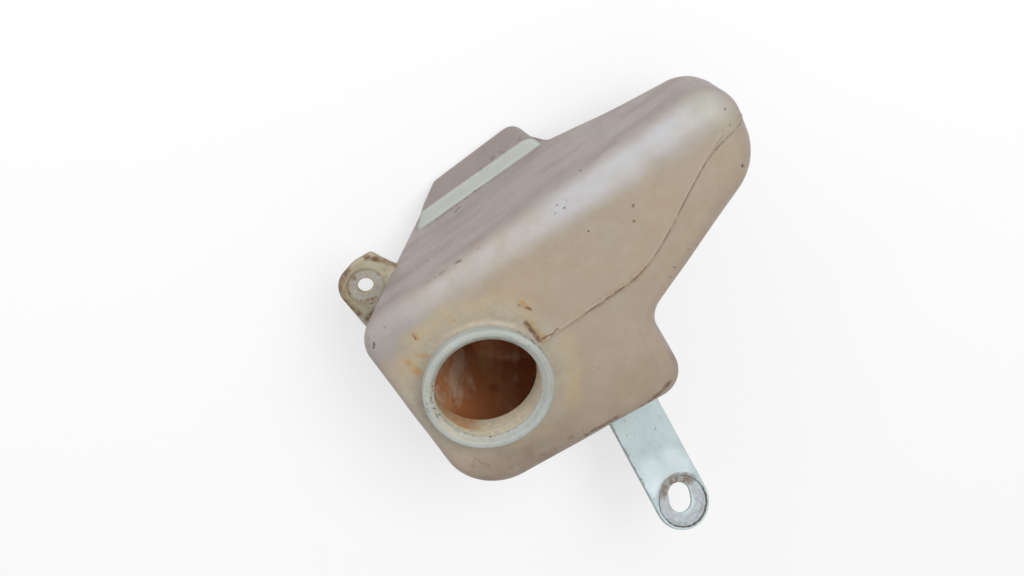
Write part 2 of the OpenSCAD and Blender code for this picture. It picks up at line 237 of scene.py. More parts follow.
class BlownSkin:
    # One closed skin of the shell: the outside, or at the wall's thickness the space inside it

    def __init__(self, sizes, steps, thick, outside):
        self.s, self.steps, self.thick, self.outside = sizes, steps, thick, outside
        s = sizes
        frontY = -s["frontReach"] - s["frontSpread"]
        self.roofPlan = np.array([
            (-s["endReach"], -s["frontReach"]),
            (s["mainReach"], frontY),
            (s["mainReach"] + s["notchSlant"], frontY + s["notchDepth"]),
            (s["noseReach"] - s["noseSlant"], s["backReach"] - s["noseWidth"]),
            (s["noseReach"], s["backReach"]),
            (-s["endReach"] + s["endSlant"], s["backReach"]),
        ])
        self.basePlan = self.roofPlan + np.array([
            (s["endLeanFront"], s["frontLean"]),
            (-s["notchLean"], s["frontLean"]),
            (-s["notchLean"], s["frontLean"]),
            (-s["noseLean"], s["noseLean"]),
            (-s["noseLean"], -s["backLean"]),
            (s["endLeanBack"], -s["backLean"]),
        ])
        self.corners = [s["frontCorner"], s["notchCorner"], s["notchCorner"],
                        s["noseFrontCorner"], s["noseBackCorner"], s["backCorner"]]
        self.edges = [s["endEdge"]] * 3 + [s["noseEdge"]] * 2 + [s["endEdge"]]
        self.stepX = s["mainReach"] - s["noseStepInset"]
        self.stepEnd = self.stepX + s["noseStepLength"]
        self.makePosts()

    def arc(self, k, first, last, count):
        # the posts round corner k
        shares = np.linspace(first, last, count + 1)
        roof, out = roundedCorner(self.roofPlan, k, self.corners[k], shares)
        base, _ = roundedCorner(self.basePlan, k, self.corners[k], shares)
        plain = np.ones(count + 1)
        return np.column_stack([roof, base, out, plain * self.edges[k], plain * 0])

    def post(self, k, share):
        return self.arc(k, share, share, 0)[0]

    def between(self, p, q, count):
        return np.array([mix(p, q, i / count) for i in range(1, count)])

    def ridgeShape(self):
        return np.exp(-(np.array(self.steps["ridge"]) / self.s["ridgeWidth"]) ** 2)

    def endWall(self, p, q, middleY, share):
        # posts from p to q, close together where the ridge comes down
        offsets, half = self.steps["ridge"], self.steps["half"]
        at = lambda y: mix(p, q, (y - p[roofY]) / (q[roofY] - p[roofY]))
        posts = [mix(p, at(middleY + offsets[0]), i / half) for i in range(1, half)]
        for offset, rise in zip(offsets, self.ridgeShape()):
            ridge = at(middleY + offset)
            ridge[ridgeShare] = rise * share
            posts.append(ridge)
        return posts + [mix(at(middleY + offsets[-1]), q, i / half) for i in range(1, half)]

    def makePosts(self):
        st, s, post, arc = self.steps, self.s, self.post, self.steps["arc"]
        front = np.vstack([
            self.arc(0, 0.5, 1, arc), self.between(post(0, 1), post(1, 0), st["front"]),
            self.arc(1, 0, 1, st["corner"]), self.between(post(1, 1), post(2, 0), st["notch"]),
            self.arc(2, 0, 1, st["corner"]), self.between(post(2, 1), post(3, 0), st["nose"]),
            self.arc(3, 0, 0.5, arc)])
        self.side = len(front) - 1
        middle = front[arc + 1:self.side - arc]
        first, last = post(5, 0), post(4, 1)

        def share(level):  # each back post stands opposite one of the front wall
            x, x0, x1 = middle[:, level], front[arc, level], front[self.side - arc, level]
            t = (x - x0) / (x1 - x0)
            partner = x + (first[level] - x0) * (1 - t) ** 4 + (last[level] - x1) * t ** 4
            return (partner - first[level]) / (last[level] - first[level])

        high, low = share(roofX), share(baseX)
        back = mix(first[None], last[None], high[:, None])
        back[:, baseXY] = mix(first[None, baseXY], last[None, baseXY], low[:, None])
        back[:, edgeRadius] += s["backEdgeSwell"] * np.sin(np.pi * high)
        back = np.vstack([self.arc(5, 0.5, 0, arc), back, self.arc(4, 1, 0.5, arc)])
        endWall = self.endWall(post(0, 0), post(5, 1), 0.0, s["ridgeOnEnd"])
        noseWall = self.endWall(post(3, 1), post(4, 0), self.ridgeY(s["noseReach"]), s["ridgeOnNose"])
        end = np.vstack([self.arc(0, 0.5, 0, arc), endWall, self.arc(5, 1, 0.5, arc)])
        nose = np.vstack([self.arc(3, 0.5, 1, arc), noseWall, self.arc(4, 0, 0.5, arc)])
        self.across = len(end) - 1
        self.posts = np.vstack([front, nose[1:-1], back[::-1], end[-2:0:-1]])
        self.ring = len(self.posts)

    def ridgeY(self, x):
        s = self.s
        middle = s["backReach"] - s["noseWidth"] / 2
        return middle * fade(x, s["mainReach"] + s["ridgeTurns"], s["noseReach"] - s["ridgeStraight"])

    def floorZ(self, x, y):
        s = self.s
        x = x - s["stepBack"] * fade(y, s["stepBackFrom"], s["stepBackFull"])
        tip = s["roofHeight"] - s["noseDepth"]
        slope = np.maximum(0, (x - self.stepEnd) / (s["noseReach"] - self.stepEnd))
        return s["noseStepHeight"] * fade(x, self.stepX, self.stepEnd) + (tip - s["noseStepHeight"]) * slope

    def lowEdge(self, x):
        s = self.s
        return mix(s["baseEdge"], s["noseBaseEdge"], fade(x, self.stepX, self.stepX + s["lowEdgeLength"]))

    def ledgeHeights(self):
        # the foot's rounded upper edge, and the root of the ledge on it
        edge, root = np.array([-1.3, -0.75, -0.3, 0.02, 0.2]), np.array([-0.28, -0.05, 0.3, 0.9])
        return self.s["footHeight"] + edge, self.s["footHeight"] + self.s["ledgeRise"] + root

    def lip(self, z):
        # share of the foot's width that is left at a height
        shares = [1, 0.99, 0.965, 0.91, 0.84, 0.14, 0.055, 0.012, 0]
        return np.interp(z, np.concatenate(self.ledgeHeights()), shares)

    def footY(self, x, z):
        s = self.s
        drop = np.maximum(0, 1 - z / s["footHeight"])
        near = (x - s["footStart"] - s["footSkew"] * drop) / (s["footRise"] + 2 * s["footSkew"] * drop)
        far = (s["footStart"] + s["footLength"] - s["footSkew"] * drop - x) / s["footFade"]
        bowed = (1 - (1 - np.clip(far, 0, 1)) ** s["footBow"]) ** 0.4
        ends = np.minimum(np.clip(near, 0, 1), bowed)
        grown = mix(s["footStartShare"], 1,
                    np.clip((x - s["footStart"]) / (s["footLength"] - s["footFade"]), 0, 1))
        return ends * self.lip(z) * (s["footOut"] + s["footFlare"] * drop * grown)

    def wallPoint(self, z, inset):
        p, s = self.posts, self.s
        q = mix(p[:, baseXY], p[:, roofXY], (z / s["roofHeight"])[:, None])
        q = q + p[:, outXY] * (p[:, ridgeShare] * s["ridgeHeight"] * self.outside - inset)[:, None]
        foot = np.where(p[:, outY] > 0.2, self.footY(q[:, 0], z + self.thick), 0)
        return np.column_stack([q[:, 0], q[:, 1] + foot, z])

    def rows(self):
        p, s, st, thick = self.posts, self.s, self.steps, self.thick
        lowR = self.lowEdge(p[:, baseX])
        first = self.floorZ(p[:, baseX] - p[:, outX] * lowR, p[:, baseY])
        x = mix(p[:, baseX], p[:, roofX], first / s["roofHeight"]) - p[:, outX] * lowR
        low = self.floorZ(x + thick, p[:, baseY]) + thick
        lowR = self.lowEdge(x) - thick
        topR = p[:, edgeRadius] - thick
        rows = []
        for a in np.radians(np.linspace(0, 90, st["low"] + 1)):
            rows.append(self.wallPoint(low + lowR * (1 - np.cos(a)), thick + lowR * (1 - np.sin(a))))
        bottom, top = low + lowR, s["roofHeight"] - thick - topR
        edge, root = self.ledgeHeights()
        below = np.linspace(s["baseEdge"], edge[0], st["walls"] // 3)[1:-1]
        above = np.linspace(root[-1], s["roofHeight"] - s["topRowsBelow"], st["walls"] - st["walls"] // 3)[1:]
        heights = np.concatenate([below, edge, s["footHeight"] + np.array([0.6, 1.0]), root, above])
        gap = 0.2  # rows come no closer than this
        for i, h in enumerate(heights):
            z = np.maximum(h - thick, bottom + (i + 1) * gap)
            even = mix(bottom, top, (i + 1) / (len(heights) + 1))
            z = mix(z, even, fade(p[:, roofX], s["evenRowsFrom"], s["evenRowsFull"]))
            rows.append(self.wallPoint(z, np.full(len(p), thick)))
        for a in np.radians(np.linspace(0, 90, st["top"] + 1)):
            rows.append(self.wallPoint(top + topR * np.sin(a), thick + topR * (1 - np.cos(a))))
        return rows

    def rimIndex(self, i, c):
        # the post that ends step i along and step c across a sheet
        side, across = self.side, self.across
        if c == 0:
            return i
        if c == across:
            return 2 * side + across - i
        return side + c if i == side else (self.ring - c) % self.ring

    def sheetRow(self, edge, i):
        # the points across a sheet at step i, close together along the ridge
        a, b = edge[self.rimIndex(i, 0)][:2], edge[self.rimIndex(i, self.across)][:2]
        x = (a[0] + b[0]) / 2
        offsets = self.steps["ridge"]
        outer = (self.across + 1 - len(offsets)) // 2
        first, last = np.array([x, self.ridgeY(x) + offsets[0]]), np.array([x, self.ridgeY(x) + offsets[-1]])
        shares = np.arange(1, outer) / outer
        return np.vstack([
            mix(a[None], first[None], shares[:, None]),
            np.column_stack([np.full(len(offsets), x), self.ridgeY(x) + np.array(offsets)]),
            mix(b[None], last[None], shares[::-1, None])])

    def sheet(self, edge, roof):
        # the roof or the floor, laid between the posts' ends
        s, side, across = self.s, self.side, self.across
        ends = {i: np.array([edge[self.rimIndex(i, c)][:2] for c in range(1, across)])
                - self.sheetRow(edge, i)
                for i in (0, side)}
        ridge = np.zeros(across - 1)
        start = (across + 1 - len(self.steps["ridge"])) // 2 - 1
        ridge[start:start + len(self.steps["ridge"])] = self.ridgeShape() * s["ridgeHeight"] * self.outside
        points = []
        for i in range(1, side):
            near = max(0, 1 - abs(edge[i][0] - edge[0][0]) / s["endReach"]) ** 2
            far = max(0, 1 - abs(edge[i][0] - edge[side][0]) / (s["noseWidth"] * 0.7)) ** 2
            xy = self.sheetRow(edge, i) + near * ends[0] + far * ends[side]
            if roof:
                u = i / side
                rise = s["crown"] * np.sin(np.pi * u) * np.sin(np.pi * np.arange(1, across) / across)
                z = s["roofHeight"] - self.thick + rise + ridge
            else:
                z = self.floorZ(xy[:, 0] + self.thick, xy[:, 1]) + self.thick + ridge
            points.append(np.column_stack([xy, z]))
        return np.vstack(points)

    def sheetFaces(self, edgeStart, sheetStart, roof):
        side, across = self.side, self.across

        def index(i, c):
            if c in (0, across) or i in (0, side):
                return edgeStart + self.rimIndex(i, c)
            return sheetStart + (i - 1) * (across - 1) + c - 1

        faces = []
        for i in range(side):
            for c in range(across):
                quad = (index(i, c), index(i + 1, c), index(i + 1, c + 1), index(i, c + 1))
                faces.append(quad if roof else quad[::-1])
        return faces

    def build(self):
        rows = self.rows()
        floor, roof = self.sheet(rows[0], False), self.sheet(rows[-1], True)
        points = np.vstack(rows + [floor, roof])
        wallCount = len(rows) * self.ring
        faces = ringFaces(len(rows), self.ring, False)
        faces += self.sheetFaces(0, wallCount, False)
        faces += self.sheetFaces(wallCount - self.ring, wallCount + len(floor), True)
        return points, faces


def gentleWaves(points):
    # slow unevenness of blown plastic, the same at every run
    waves = [((0.11, 0.04, 0.02), 0.4), ((-0.05, 0.13, 0.03), 1.7), ((0.07, -0.09, 0.1), 2.9),
             ((0.16, 0.12, -0.05), 4.1), ((-0.2, 0.08, 0.12), 5.3), ((0.03, 0.22, 0.17), 0.9)]
    total = np.zeros(len(points))
    for direction, phase in waves:
        total += np.sin(points @ np.array(direction) + phase)
    return total / len(waves)


outerSkin = BlownSkin(shellSizes, fineSteps, 0.0, 1.0)
skinPoints, skinFaces = outerSkin.build()
shell = meshFrom("blownShell", skinPoints, skinFaces)
sway = gentleWaves(skinPoints) * shellSizes["waviness"] * fade(skinPoints[:, 2], 1, 7)  # the base stays flat
skinPoints = skinPoints + vertexValues(shell, "normal") * sway[:, None]
shell.data.vertices.foreach_set("co", toFrame(skinPoints).ravel())
shell.data.update()
innerPoints, innerFaces = BlownSkin(shellSizes, plainSteps, shellSizes["wall"], 0.0).build()
cavity = meshFrom("cavity", innerPoints, innerFaces)
shellTree = BVHTree.FromPolygons([Vector(p) for p in toFrame(skinPoints)], skinFaces)
print("tank: shell skins made,", len(skinFaces), "faces outside,", len(innerFaces), "inside")


# The filler neck, turned about Z

neckSizes = {
    "bore": 21.7,
    "wall": 4.7,
    "height": 8.0,
    "throat": 15.0,
    "dish": 1.7,
    "beadHeight": 5.4,
    "beadDepth": 2.2,
    "rimWidth": 2.3,
    "rootFlare": 3.2,
    "segments": 168,
    "throatExtra": 1.2,  # the roof's hole is this much wider than the bore, so the neck's own inside shows
    "cutFrom": 70.0,
    "cutTo": 95.0,
}


def makeNeck(n, roofHeight):
    mouth = roofHeight + n["height"]
    rim = mouth + n["dish"]
    outer = n["bore"] + n["wall"]
    collar = outer - n["beadDepth"]
    profile = roundedPath([
        (n["bore"], mouth - n["throat"], 0.6),
        (collar - 1, mouth - n["throat"], 0.8),
        (collar + n["rootFlare"] + 1.6, roofHeight - 1.6, 0),
        (collar + n["rootFlare"] + 2, roofHeight - 0.12, 0),
        (collar + n["rootFlare"] + 0.6, roofHeight, 0.8),
        (collar, roofHeight + 0.1, n["rootFlare"]),
        (collar, rim - n["beadHeight"], 0.8),
        (outer, rim - n["beadHeight"] + 0.15, 0.9),
        (outer, rim, 1.2),
        (outer - n["rimWidth"], rim + 0.05, 0.9),
        (n["bore"] + 0.75, mouth + 0.35, 0.25),
        (n["bore"], mouth - 0.45, 0.4),
    ], 5)
    turns = np.linspace(0, 2 * np.pi, n["segments"], endpoint=False)
    points = np.vstack([atHeight(onCircle(r, turns), z) for r, z in profile])
    nearRoof = (points[:, 2] > roofHeight - 1.5) & (points[:, 2] < roofHeight + n["rootFlare"] + 0.8)
    outside = np.hypot(points[:, 0], points[:, 1]) > n["bore"] + 1.5
    for k in np.flatnonzero(nearRoof & outside):  # the neck's root follows the roof's slight crown
        above = Vector(toFrame([(points[k, 0], points[k, 1], roofHeight + 20)])[0])
        hit = shellTree.ray_cast(above, Vector((0, 0, -1)))[0]
        points[k, 2] += hit[2] / mm - roofHeight
    return meshFrom("fillerNeck", points, ringFaces(len(profile), n["segments"], True))


def makeCylinder(name, radius, low, high, count=96):
    ring = onCircle(radius, np.linspace(0, 2 * np.pi, count, endpoint=False))
    points = np.vstack([atHeight(ring, low), atHeight(ring, high)])
    faces = ringFaces(2, count, False) + [tuple(range(count))[::-1], tuple(range(count, 2 * count))]
    return meshFrom(name, points, faces)


neck = makeNeck(neckSizes, shellSizes["roofHeight"])
throat = makeCylinder("throat", neckSizes["bore"] + neckSizes["throatExtra"],
                      neckSizes["cutFrom"], neckSizes["cutTo"])
print("tank: neck turned")


# Flat fittings: the lug and the strap, each a plate with a hole

lugSizes = {
    "at": (-21.2, 48.5, 45.0),
    "thick": 3.0,
    "hole": 3.3,
    "dent": 7.5,
    "dentDepth": 0.35,
    "edge": 0.9,
    "rootFillet": 2.2,
    "points": 176,  # round the outline
}
strapSizes = {
    "at": (30.2, -116.0, 60.0),
    "roll": -22.0,
    "rise": -23.5,
    "turn": -97.0,
    "thick": 3.0,
    "width": 25.4,
    "length": 74.0,
    "recess": 11.5,
    "recessDepth": 1.0,
    "slotWidth": 10.6,
    "slotLength": 13.3,
    "slotTurn": -20.0,
    "slotBack": 2.0,
    "edge": 0.675,
    "rootFillet": 2.5,
    "points": 240,
}


def polarRing(path, angles):
    # the closed path's points at these angles about the origin
    fine = evenly(path, 2400)
    a = np.arctan2(fine[:, 1], fine[:, 0])
    order = np.argsort(a)
    r = np.interp(angles, a[order], np.linalg.norm(fine, axis=1)[order], period=2 * np.pi)
    return onCircle(r, angles)


def shrunk(path, by):
    # the closed path moved inwards
    fine = evenly(path, 1200)
    along = np.roll(fine, -1, 0) - np.roll(fine, 1, 0)
    along /= np.linalg.norm(along, axis=1)[:, None]
    return fine - np.column_stack([along[:, 1], -along[:, 0]]) * by


def plate(name, sizes, outline, hole, levels, spread, turn, relief):
    # levels are (radius, height) of the round steps on the upper face, between the hole and the outline
    thick, edge, fillet, count = (sizes[key] for key in ("thick", "edge", "rootFillet", "points"))
    lowEdge = 0.5
    outer = evenly(outline, count)
    angles = np.arctan2(outer[:, 1], outer[:, 0])
    holeRing = lambda grow: polarRing(shrunk(hole, -grow), angles)
    edgeRing = lambda inset: polarRing(shrunk(outline, inset), angles)
    radius, level = levels[0]
    rings = [(holeRing(0), level - 0.5), (holeRing(0.15), level - 0.12), (holeRing(0.5), level)]
    for share in (0.33, 0.66):
        rings.append((mix(rings[2][0], onCircle(radius, angles), share), level))
    rings += [(onCircle(r, angles), z) for r, z in levels]
    lastCircle, flatEdge = onCircle(levels[-1][0], angles), edgeRing(edge)
    rings += [(mix(lastCircle, flatEdge, share), 0.0) for share in spread]
    for a in np.radians([0, 22, 45, 68, 90]):
        rings.append((edgeRing(edge * (1 - math.sin(a))), edge * (math.cos(a) - 1)))
    for a in np.radians([0, 30, 60, 90]):
        rings.append((edgeRing(lowEdge * (1 - math.cos(a))), -thick + lowEdge * (1 - math.sin(a))))
    inner = holeRing(0.4)
    rings += [(mix(inner, edgeRing(lowEdge), share), -thick) for share in spread[::-2]]
    rings += [(inner, -thick), (holeRing(0), -thick + 0.4)]
    points = np.vstack([atHeight(ring, z) for ring, z in rings])
    points[:, 2] += relief(points)
    world = points @ turn.T + sizes["at"]
    for k, p in enumerate(toFrame(world)):  # both faces swell into a fillet where they come near the shell
        _, _, _, far = shellTree.find_nearest(Vector(p))
        gap = min(1.0, max(0.0, far / mm / fillet))
        lift = fillet * (1 - math.sqrt(max(0.0, 1 - (1 - gap) ** 2)))
        face = 1 if points[k, 2] > -thick / 2 else -1
        world[k] += turn[:, 2] * lift * face
    return meshFrom(name, world, ringFaces(len(rings), count, True))


lugOutline = roundedPath([
    (-11.2, -20, 4), (6.5, -33, 6), (26, -20, 6), (15.5, -0.5, 5), (12.6, 5.4, 9), (10.6, 10.6, 2.4),
    (2.2, 11.3, 14), (-11.3, 8.2, 9.6)], 8)
lugHole = onCircle(lugSizes["hole"], np.linspace(0, 2 * np.pi, 64, endpoint=False))
lugTurn, dent, dented = np.eye(3), lugSizes["dent"], -lugSizes["dentDepth"]
lugLevels = [(dent - 2.9, dented), (dent - 0.6, dented), (dent - 0.2, -0.2), (dent + 0.1, 0.02),
             (dent + 0.7, 0.12), (dent + 1.4, 0.0)]
lug = plate("lugPlate", lugSizes, lugOutline, lugHole, lugLevels, np.linspace(0.06, 0.94, 18), lugTurn,
            lambda p: 0.08 * np.sin(p[:, 0] * 0.5 + 1) * np.sin(p[:, 1] * 0.45))


def turnBy(axis, degrees):
    return np.array(Matrix.Rotation(math.radians(degrees), 3, axis))


half, long = strapSizes["width"] / 2, strapSizes["length"]
recess, deep = strapSizes["recess"], -strapSizes["recessDepth"]


def strapRelief(p):
    # the tongue is a little hollow along its middle and rises to the rim of the recess
    upper = p[:, 2] > -strapSizes["thick"] / 2
    hollow = -0.25 * fade(p[:, 0], -16, -30) * (1 - (p[:, 1] / half) ** 2)
    away = np.hypot(p[:, 0], p[:, 1])
    collar = 0.35 * np.exp(-((away - recess - 2.1) / 2.2) ** 2) * (away > recess - 0.1) * fade(p[:, 0], 0, -8)
    return np.where(upper, hollow + collar, 0)


def barOutline(back, front, side, backRadius, steps):
    # a bar along X whose front is round
    frontRadius = side - 0.01
    return roundedPath([(-back, -side, backRadius), (front, -side, frontRadius), (front, side, frontRadius),
                        (-back, side, backRadius)], steps)


strapOutline = barOutline(long, half, half, 1, 40)
slotHalf, slotLong = strapSizes["slotWidth"] / 2, strapSizes["slotLength"] / 2
slot = (barOutline(slotLong, slotLong, slotHalf, slotHalf - 0.01, 20)
        @ turnBy("Z", strapSizes["slotTurn"])[:2, :2].T)
slot = slot - [strapSizes["slotBack"], 0]
strapTurn = (turnBy("Z", strapSizes["turn"]) @ turnBy("Y", strapSizes["rise"])
             @ turnBy("X", strapSizes["roll"]))
strapLevels = [(recess - 1.9, deep), (recess - 0.7, deep), (recess - 0.35, deep + 0.12),
               (recess - 0.15, deep * 0.5), (recess, -0.2), (recess + 0.2, -0.03), (recess + 0.5, 0.0)]
strapSpread = np.concatenate([np.linspace(0.02, 0.7, 30), np.linspace(0.715, 0.99, 24)])
strap = plate("strapPlate", strapSizes, strapOutline, slot, strapLevels, strapSpread, strapTurn, strapRelief)
print("tank: lug and strap made")


# Finishes

def plain(red, green, blue):
    # an 8-bit screen colour as the value that the shader wants
    parts = [(c / 255 / 12.92) if c <= 10 else ((c / 255 + 0.055) / 1.055) ** 2.4 for c in (red, green, blue)]
    return (*parts, 1.0)


def setSockets(tree, node, sockets):
    for name, value in sockets.items():
        if isinstance(value, bpy.types.NodeSocket):
            tree.links.new(value, node.inputs[name])
        else:
            node.inputs[name].default_value = value


def addNode(tree, kind, sockets, **settings):
    node = tree.nodes.new(kind)
    for name, value in settings.items():
        setattr(node, name, value)
    setSockets(tree, node, sockets)
    return node


def noise(tree, where, scale, detail=4, rough=0.55, answer="Fac"):
    sockets = {"Vector": where, "Scale": scale, "Detail": detail, "Roughness": rough}
    return addNode(tree, "ShaderNodeTexNoise", sockets).outputs[answer]


def span(tree, value, low, high, toLow=0.0, toHigh=1.0):
    # low and high become toLow and toHigh, with soft turns between
    sockets = {"Value": value, "From Min": low, "From Max": high, "To Min": toLow, "To Max": toHigh}
    return addNode(tree, "ShaderNodeMapRange", sockets, interpolation_type="SMOOTHSTEP").outputs["Result"]


def maths(tree, operation, a, b=0.0, clamp=False):
    return addNode(tree, "ShaderNodeMath", {0: a, 1: b}, operation=operation, use_clamp=clamp).outputs[0]


def times(tree, a, b):
    return maths(tree, "MULTIPLY", a, b)


def vectors(tree, operation, a, b, answer=0):
    return addNode(tree, "ShaderNodeVectorMath", {0: a, 1: b}, operation=operation).outputs[answer]


def scaled(tree, vector, by):
    return addNode(tree, "ShaderNodeVectorMath", {0: vector, "Scale": by}, operation="SCALE").outputs[0]


def lengthOf(tree, vector):
    return addNode(tree, "ShaderNodeVectorMath", {0: vector}, operation="LENGTH").outputs["Value"]


def blend(tree, share, a, b, way="MIX"):
    return addNode(tree, "ShaderNodeMix", {0: share, 6: a, 7: b}, data_type="RGBA", blend_type=way).outputs[2]


def stroke(tree, where, start, end, radius, soft):
    # 1 inside a mark drawn from start to end, in millimetres from the neck's axis
    first, last = toFrame([start, end])
    along = last - first
    away = vectors(tree, "SUBTRACT", where, tuple(first))
    if np.linalg.norm(along) > 0:
        share = vectors(tree, "DOT_PRODUCT", away, tuple(along / (along @ along)), "Value")
        share = maths(tree, "ADD", share, 0.0, True)  # held between the two ends
        away = vectors(tree, "SUBTRACT", away, scaled(tree, tuple(along), share))
    return span(tree, lengthOf(tree, away), radius * mm, radius * mm * (1 - soft))


def onShell(point):
    # the nearest point of the shell; a point without a height is taken at the roof's
    point = (*point, shellSizes["roofHeight"])[:3]
    found = shellTree.find_nearest(Vector(toFrame([point])[0]))[0]
    return np.array(found) / mm - [neckShift, 0, 0]


def marks(tree, where, strokes, soft, snap=True):
    # strokes are (points, radius); the points of one mark are joined by straight lines on the shell
    total = None
    for points, radius in strokes:
        path = [onShell(p) if snap else np.array(p, float) for p in points]
        for start, end in zip(path[:-1] or path, path[1:] or path):
            one = stroke(tree, where, start, end, radius, soft)
            total = one if total is None else maths(tree, "MAXIMUM", total, one)
    return total


def reading(tree, name):
    return addNode(tree, "ShaderNodeAttribute", {}, attribute_name=name).outputs["Fac"]


def roundAbout(tree, where, turn, at):
    # the way out from a hole's middle, the angle about it and the height, in the fitting's own directions
    away = vectors(tree, "SUBTRACT", where, tuple(toFrame([at])[0]))
    u, v, w = [vectors(tree, "DOT_PRODUCT", away, tuple(turn[:, k] / mm), "Value") for k in range(3)]
    flat = addNode(tree, "ShaderNodeCombineXYZ", {"X": u, "Y": v}).outputs[0]
    return lengthOf(tree, flat), maths(tree, "ARCTAN2", v, u), w


def startMaterial(name):
    material = bpy.data.materials.new(name)
    material.use_nodes = True
    tree = material.node_tree
    shader = tree.nodes["Principled BSDF"]
    where = addNode(tree, "ShaderNodeTexCoord", {}).outputs["Object"]
    return material, tree, shader, where


def shaken(tree, where, scale, reach):
    # the place pushed about a little, so that no mark has a clean edge
    push = vectors(tree, "SUBTRACT", noise(tree, where, scale, 5, 0.5, "Color"), (0.5, 0.5, 0.5))
    return vectors(tree, "ADD", where, scaled(tree, push, reach * mm))


def bumpFrom(tree, height, strength, depth):
    sockets = {"Strength": strength, "Distance": depth * mm, "Height": height}
    return addNode(tree, "ShaderNodeBump", sockets).outputs[0]


shellLook = {
    "roofWarm": (170, 154, 135),
    "roofCool": (165, 154, 140),
    # a painted highlight that whitens the rounded back edge of the roof
    "paintedHighlightBand": (184, 185, 188),
    # the steep walls' darker mauve, painted shade broken by streaks
    "wallDark": (156, 143, 139),
    "wallLight": (170, 160, 156),
    "cream": (184, 164, 126),
    # painted highlight on the ledge's upward face
    "ledge": (177, 183, 177),
    # painted shade at the back-left end of the roof's edge, where the painted highlight fades
    "shadedLeftEdge": (152, 148, 148),
    # painted shade on the front wall, the front of the roof and the low end wall
    "paintedFrontShade": (124, 104, 84),
    "nearNeck": (181, 175, 157),
    "foot": (152, 141, 136),
    "noseEnd": (170, 168, 150),
    "brown": (98, 66, 40),
    "orange": (178, 130, 62),
    "dark": (58, 48, 44),
    "brownStain": (140, 108, 72),
    "line": (92, 72, 54),
    "scuff": (116, 102, 100),
    "cloudDark": (173, 168, 163),
    "cloudLight": (196, 194, 192),
    "clouds": 0.5,
    "roughness": (0.37, 0.52),
    "bump": 0.13,
}
# Each kind of mark on the shell: how soft its edge is, its share (or the noise that breaks it up: from, to,
# least and most), and its strokes, each the points that it joins and its radius
shellMarks = {
    "cream": {"soft": 0.95, "share": (0.3, 0.66, 0.25, 0.75), "strokes": [
        ([(-19, 29), (-20, 21)], 9), ([(34, -7), (31, -19), (22, -29)], 8),
        ([(6, 30), (22, 26), (31, 16)], 9), ([(-12, 33), (4, 34)], 7), ([(-6, -31), (8, -33, 80)], 5)]},
    "orange": {"soft": 0.95, "share": (0.34, 0.62, 0.25, 0.8), "strokes": [
        ([(5.6, 29.7)], 1.5), ([(22.3, 24.3)], 1.5), ([(-19.5, 27), (-20.5, 20)], 3.4),
        ([(30, 18.5), (32, 14.7)], 1.6), ([(-11.2, 36), (-11.3, 32)], 1.3), ([(28, 11), (28, 2)], 3.0),
        ([(-15, 30), (-12, 24)], 2.4)]},
    "brown": {"soft": 0.9, "share": (0.3, 0.55, 0.25, 0.9), "strokes": [
        ([(27.2, 11, 82.6), (27.2, 6, 82.6), (27, 1, 82.6)], 1.7), ([(27.3, 1.3), (36, 0.1)], 0.9),
        ([(29, 19), (32, 15)], 1.0), ([(-11.2, 34.5), (-11.3, 32)], 0.6),
        ([(58, -48, 79), (51, -50, 79), (44, -51, 79)], 1.7),
        ([(33, -48.5, 80), (27, -48, 80), (18, -47, 80)], 1.6), ([(85.5, 20.6)], 1.2),
        ([(12, 48.5, 26), (40, 49, 25)], 0.7)]},
    "dark": {"soft": 0.7, "share": 1.0, "strokes": [
        ([(131.9, 13.2, 80), (132.1, 12.2, 80)], 0.9), ([(88.3, 26.1)], 0.9),
        ([(-26.4, 39, 80), (-25, 40.5, 80)], 0.7), ([(18.5, 46.3, 75.8), (21, 46.6, 76)], 0.7),
        ([(36.3, 48, 24)], 0.8), ([(64.7, 43.4, 79)], 0.6), ([(66, 40.8, 80)], 0.7),
        ([(79.4, 47, 72.3)], 0.6), ([(138.1, 36.4, 79.9)], 0.7), ([(136.5, 30.4, 80.8)], 0.6),
        ([(68.7, 28.1)], 0.5), ([(105.7, 31.5)], 0.5), ([(39.2, -24.2)], 0.5), ([(87.7, -6.6)], 0.6),
        ([(84.1, -9.4, 81.6)], 0.6), ([(96.2, -3.5, 81.7)], 0.6), ([(28, 49, 30), (25, 49, 31)], 0.6),
        ([(50, 49, 33)], 0.6), ([(8, 49, 60)], 0.5)]},
    "smudge": {"soft": 0.9, "share": (0.46, 0.7, 0.0, 0.5), "strokes": [
        ([(-14, -41, 78), (0, -43, 78), (17, -44.5, 79)], 3.6), ([(-27, -26.6, 78), (-22, -31, 79)], 3.6),
        ([(62, 41, 80), (66, 42, 79)], 2.2), ([(60, -52, 78), (20, -49, 78)], 3.0),
        ([(14, -48, 76), (-10, -46, 76)], 2.6), ([(12, 47, 77), (22, 47, 77)], 1.6),
        ([(4, 47, 76), (9, 47, 77)], 1.5), ([(-18, 43, 79), (-26, 41, 79)], 2.6),
        ([(26, 46.5, 77), (33, 46.5, 77)], 1.2), ([(-29, 32, 79), (-30, 20, 78)], 1.6),
        ([(100, -4, 80), (88, -12, 80)], 1.4), ([(64, 54, 19), (44, 54, 19.5)], 3.2)]},
    # patches of painted highlight that widen the whitened band on the roof's back edge
    "paintedHighlightPatches": {"soft": 0.97, "share": 0.14, "strokes": [
        ([(64, 40, 80), (72, 37, 81), (82, 39, 81)], 6), ([(12, 43, 80), (-8, 42, 80)], 4),
        ([(-18, 40, 80), (-24, 33, 80)], 4)]},
    "noseEnd": {"soft": 0.9, "share": 0.55, "strokes": [
        ([(131, 44, 78), (135, 36, 81)], 13)]},
}


